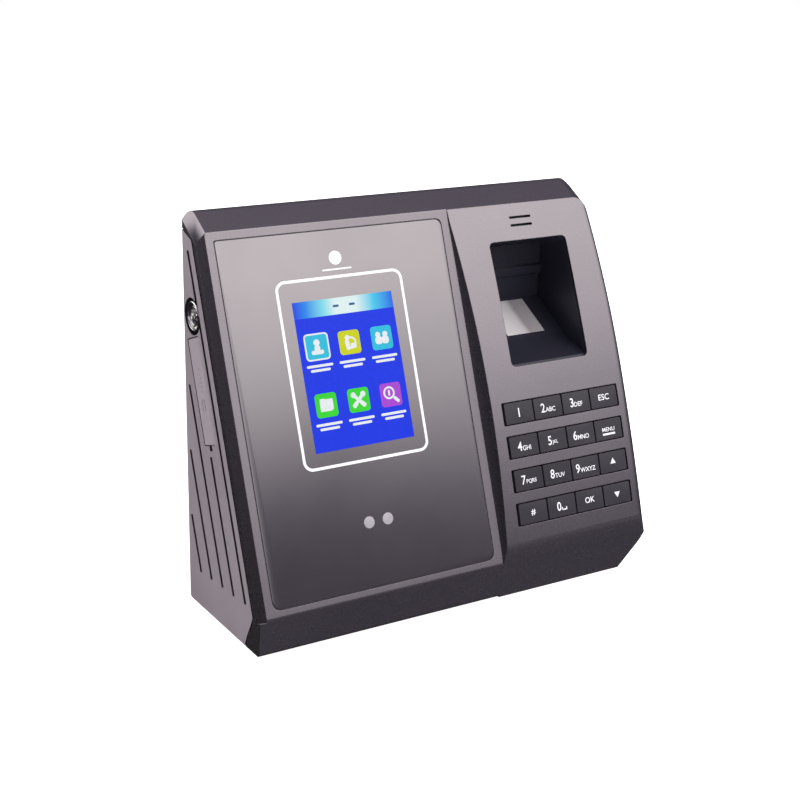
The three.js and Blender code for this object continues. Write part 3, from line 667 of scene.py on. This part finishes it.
def lettering(text, height, squeeze=1.0):
    """Printed characters of a real height, their baseline and left end at the layout's middle."""
    deselect()
    bpy.ops.object.text_add(location=(0, 0, 0))
    words = bpy.context.object
    words.data.body = text
    words.data.size = 0.01
    words.data.offset = 0.0001
    words.data.extrude = 0.0001
    words.data.resolution_u = 4
    only(words)
    bpy.ops.object.convert(target="MESH")
    words = bpy.context.object
    tall = max(v.co.y for v in words.data.vertices) - min(v.co.y for v in words.data.vertices)
    left = min(v.co.x for v in words.data.vertices)
    low = min(v.co.y for v in words.data.vertices)
    grow = height * MM / tall
    words.scale = (grow * squeeze, grow, INK * MM / 0.0002)
    words.location = (-left * grow * squeeze, -low * grow, INK / 2 * MM)
    settle(words)
    return words


def width_of(piece):
    across = [v.co.x for v in piece.data.vertices]
    return max(across) / MM


def space_sign():
    """A flat tray, the sign of a blank."""
    outlines = ((0, 0, 2.6, 0.5), (0, 0, 0.5, 1.3), (2.1, 0, 2.6, 1.3))
    return [plate(*outline, 0, INK, 0, 0) for outline in outlines]


def legend(big, small):
    """The whole legend of a key, centred on the layout's middle."""
    if big in TRIANGLE:
        return shifted(turned([(1.6, 0), (1.6, INK)], 3), 0, 0, 0, TRIANGLE[big] - 90)
    marks, reach = [], 0.0
    if big:
        digit = lettering(big, LEGEND_HEIGHT["digit"], 0.85)
        marks.append(digit)
        reach = width_of(digit) + 0.25
    if small == "space":
        marks += [shifted(line, reach, 0) for line in space_sign()]
        reach += 2.6
    elif small:
        height = LEGEND_HEIGHT.get(small, LEGEND_HEIGHT["letters"])
        letters = shifted(lettering(small, height, 0.95 if big else 1.0), reach, 0)
        marks.append(letters)
        reach = width_of(letters)
    tall = LEGEND_HEIGHT["digit"] if big else LEGEND_HEIGHT.get(small, 2)
    if small == "MENU":
        marks.append(plate(0, -1.5, reach, -0.7, 0, INK, 0, 0))
    whole = join(marks) if len(marks) > 1 else marks[0]
    return shifted(whole, -reach / 2, -tall / 2)


for number, (name, words) in enumerate(LEGENDS.items()):
    row, column = divmod(number, 4)
    x = KEY["first_x"] + column * KEY["pitch_x"]
    y = KEY["first_y"] - row * KEY["pitch_y"]
    cap = welded_copy(name)
    soften(cap, 0.28, 40)
    smooth(cap, 40)
    _, place, normal, _ = cap.ray_cast(on_face(x, y, 20), -OUTWARD)
    uphill = (UPHILL - normal * UPHILL.dot(normal)).normalized()
    top = Matrix.Translation(place) @ Matrix((uphill.cross(normal), uphill, normal)).transposed().to_4x4()
    finish_piece(cap, f"{name}_cap", f"{name}_body", key_charcoal, (name,))
    ink = legend(*words)
    settle(ink, top)
    finish_piece(ink, f"{name}_legend", f"{name}_body", printing_ink)

# ---- power socket and port flap ----------------------------------------------------------------------------

JACK = {"uphill": 43.8, "outward": -17.4}
LEFT_SIDE = -55.1
TO_LEFT = Matrix(((0, 0, -1, 0), (0, 1, 0, 0), (1, 0, 0, 0), (0, 0, 0, 1)))


def on_left_side(piece, uphill, outward):
    """Stands a piece from the layout on the left side, its outward axis to the left."""
    place = Matrix.Translation(Vector((LEFT_SIDE, uphill, outward)) * MM)
    settle(piece, FACE @ place @ TO_LEFT)
    return piece


# Outlines of the turned parts, as radius and height: first the outer ring and the inner ring with the bore.
RINGS = [(5.6, -4.0), (5.9, -3.9), (5.9, -0.35), (5.75, -0.1), (5.5, 0.0), (5.2, -0.05), (5.0, -0.3),
         (4.85, -1.4), (4.35, -1.4), (4.25, -0.75), (4.05, -0.5), (3.75, -0.45), (3.4, -0.6), (3.2, -1.0),
         (3.2, -11.0)]
PIN = [(1.0, -11.0), (1.0, -2.2), (0.85, -1.8), (0.5, -1.55), (0.1, -1.5)]
BARREL = [(4.9, -14.0), (4.9, -4.0), (4.3, -4.0)]
socket = join([coated(turned(RINGS, 64), nickel), coated(turned(PIN, 24), nickel),
               coated(turned(BARREL, 48), moulded_black)])
on_left_side(socket, JACK["uphill"], JACK["outward"])
finish_piece(socket, "power_socket", "casing", None, ("dc_jack",))

flap = welded_copy("port_flap")
soften(flap, 0.3, 40)
smooth(flap, 40)
# The outer skin sits a little deeper, so that the raised grip ribs end level with the case.
RIB_HEIGHT = 0.16
flap_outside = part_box("port_flap")[0].x
for vertex in flap.data.vertices:
    vertex.co.x = max(vertex.co.x, flap_outside + RIB_HEIGHT * MM)
ribs = [shifted(plate(-1.5, -0.25, 1.5, 0.25, -2 * RIB_HEIGHT, 0, 0.2, 0.08), 0, 1.7 * n) for n in range(6)]
ribs.append(shifted(outline_frame(0, 0, 3.0, 4.6, 0.45, 0.8, -2 * RIB_HEIGHT, 0), 0, -5.5))
flap = join([flap, on_left_side(join(ribs), 15.5, -20.6)])
finish_piece(flap, "ribbed_port_flap", "port_flap_body", soft_rubber, ("port_flap",))

# Dark liners close the side slots from inside, so that no light shows through the case; their black is
# painted shade inside the slots. For each slot: its outward place, and its lower and upper end.
SIDE_SLOTS = [(-11.3, -65.7, 68), (-21.6, -63.1, -9.6), (-31.5, -60.2, 19), (-41.7, -57.6, -6),
              (-51.8, -55, -31.6)]
BEHIND_WALL, LAP = (-2.8, -2.5), 1.2
liners = [plate(outward - LAP, low - LAP, outward + LAP, high + LAP, *BEHIND_WALL, 0, 0)
          for outward, low, high in SIDE_SLOTS]
finish_piece(on_left_side(join(liners), 0, 0), "slot_shade_liners", "casing", moulded_black)

# ---- sensor ------------------------------------------------------------------------------------------------

prism = welded_copy("sensor_prism")
soften(prism, 0.25, 20)
smooth(prism, 30)
prism_low, prism_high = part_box("sensor_prism")
finish_piece(prism, "prism_glass_with_painted_reflection", "casing", glass_with_painted_reflection(prism_low.x, prism_high.x),
             ("sensor_prism",))

# ---- lights, floor and backdrop --------------------------------------------------------------------------

def toward(azimuth, elevation, distance=1.0):
    """A place around the object: azimuth 0 is in front, 90 to its right."""
    a, e = math.radians(azimuth), math.radians(elevation)
    return distance * Vector((math.sin(a) * math.cos(e), -math.cos(a) * math.cos(e), math.sin(e)))


def softbox(name, place, width, height):
    """A soft area light that faces the object and leaves no reflection."""
    data = bpy.data.lights.new(name, "AREA")
    data.shape, data.size, data.size_y = "RECTANGLE", width, height
    data.energy = SOFTBOX_WATTS
    light = bpy.data.objects.new(name, data)
    bpy.context.scene.collection.objects.link(light)
    light.location = place
    light.rotation_euler = (LIT_PLACE - place).to_track_quat("-Z", "Y").to_euler()
    light.visible_glossy = False


LIT_PLACE = Vector((0, 0, 0.08))
SOFTBOX_WATTS, SOFTBOX_DISTANCE = 9, 1.6
softbox("right_front_softbox", toward(34, 45, SOFTBOX_DISTANCE), 1.2, 0.9)
softbox("left_back_softbox", toward(-110, 35, SOFTBOX_DISTANCE), 1.2, 1.2)

bpy.context.scene.view_settings.view_transform = "Standard"
world = bpy.data.worlds.new("studio")
bpy.context.scene.world = world
world.use_nodes = True
world.node_tree.nodes.clear()


def near_direction(direction, centre, outer_degrees, inner_degrees):
    """1 within the inner angle of a direction of the room, 0 beyond the outer one."""
    dot = add(world, "ShaderNodeVectorMath", settings={"operation": "DOT_PRODUCT"}, values={1: centre},
              links={0: direction}).outputs["Value"]
    outer, inner = math.cos(math.radians(outer_degrees)), math.cos(math.radians(inner_degrees))
    return add(world, "ShaderNodeMapRange", settings={"interpolation_type": "SMOOTHSTEP"},
               values={"From Min": outer, "From Max": inner}, links={"Value": dot}).outputs["Result"]


def grey(value):
    return (value, value, value, 1.0)


def combined(kind, first, second):
    """One number from two; the second may be a plain number."""
    made = add(world, "ShaderNodeMath", settings={"operation": kind}, links={0: first})
    if isinstance(second, float):
        made.inputs[1].default_value = second
    else:
        world.node_tree.links.new(second, made.inputs[1])
    return made.outputs["Value"]


# The room around the object: a tall graded panel in front to the right, a smaller one behind to the
# left, and dark walls elsewhere. Height goes from 0 at the horizon to 1 overhead.
direction = add(world, "ShaderNodeTexCoord").outputs["Generated"]
height = add(world, "ShaderNodeSeparateXYZ", links={"Vector": direction}).outputs["Z"]
PANEL = ((0.0, 0.05), (0.06, 0.08), (0.11, 0.15), (0.145, 0.25), (0.19, 0.4), (0.25, 0.55), (0.32, 0.72),
         (0.39, 0.86), (0.485, 1.0), (0.8, 1.0))
WALLS = ((0.0, 0.008), (0.1, 0.03), (0.6, 0.06), (1.0, 0.2))
panel, walls = (ramp(world, height, *[(at, grey(level)) for at, level in stops]) for stops in (PANEL, WALLS))
front = combined("MULTIPLY", panel, near_direction(direction, toward(33, 0), 70, 45))
behind = combined("MULTIPLY", near_direction(direction, toward(-135, 27), 38, 16), 0.95)
brightness = combined("MAXIMUM", combined("MAXIMUM", front, behind), walls)
# The dark walls are faintly violet and the bright panels faintly warm.
tinted = ramp(world, brightness, (0.0, (0.0, 0.0, 0.0, 1.0)), (0.1, (0.1, 0.09, 0.118, 1.0)),
              (0.4, (0.4, 0.385, 0.42, 1.0)), (1.0, (1.0, 0.975, 0.96, 1.0)))
room = add(world, "ShaderNodeBackground", values={"Strength": 2.8}, links={"Color": tinted})
backdrop = add(world, "ShaderNodeBackground", values={"Color": colour("#ffffff"), "Strength": 1.0})
seen = add(world, "ShaderNodeLightPath").outputs["Is Camera Ray"]
mixed = add(world, "ShaderNodeMixShader", links={0: seen, 1: room.outputs["Background"],
                                                 2: backdrop.outputs["Background"]})
add(world, "ShaderNodeOutputWorld", links={"Surface": mixed.outputs["Shader"]})

deselect()
bpy.ops.mesh.primitive_plane_add(size=8, location=(0, 0, -0.0005))
floor = bpy.context.object
floor.name = "studio_floor"
floor_material, floor_place = start_material("matt_white_paper")
fibre = noise(floor_material, floor_place, 20)
paper = ramp(floor_material, fibre, (0.3, colour("#fbfbfb")), (0.7, colour("#ffffff")))
floor_shader = add(floor_material, "ShaderNodeBsdfPrincipled", links={"Base Color": paper},
                   values={"Roughness": 0.9, "Emission Color": colour("#ffffff"), "Emission Strength": 0.88})
end_material(floor_material, floor_shader)
floor.data.materials.append(floor_material)
floor.visible_glossy = False

# ---- every other CAD node --------------------------------------------------------------------------------

CARRIED_OVER = {
    "display_module": nickel, "keypad_mat": silicone, "keypad_board": board,
    "sensor_board": board, "speaker": moulded_black, "main_board": board, "wiring_socket": green_nylon,
    "usb_port": nickel,
}
for node, material in CARRIED_OVER.items():
    coated(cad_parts[node], material)
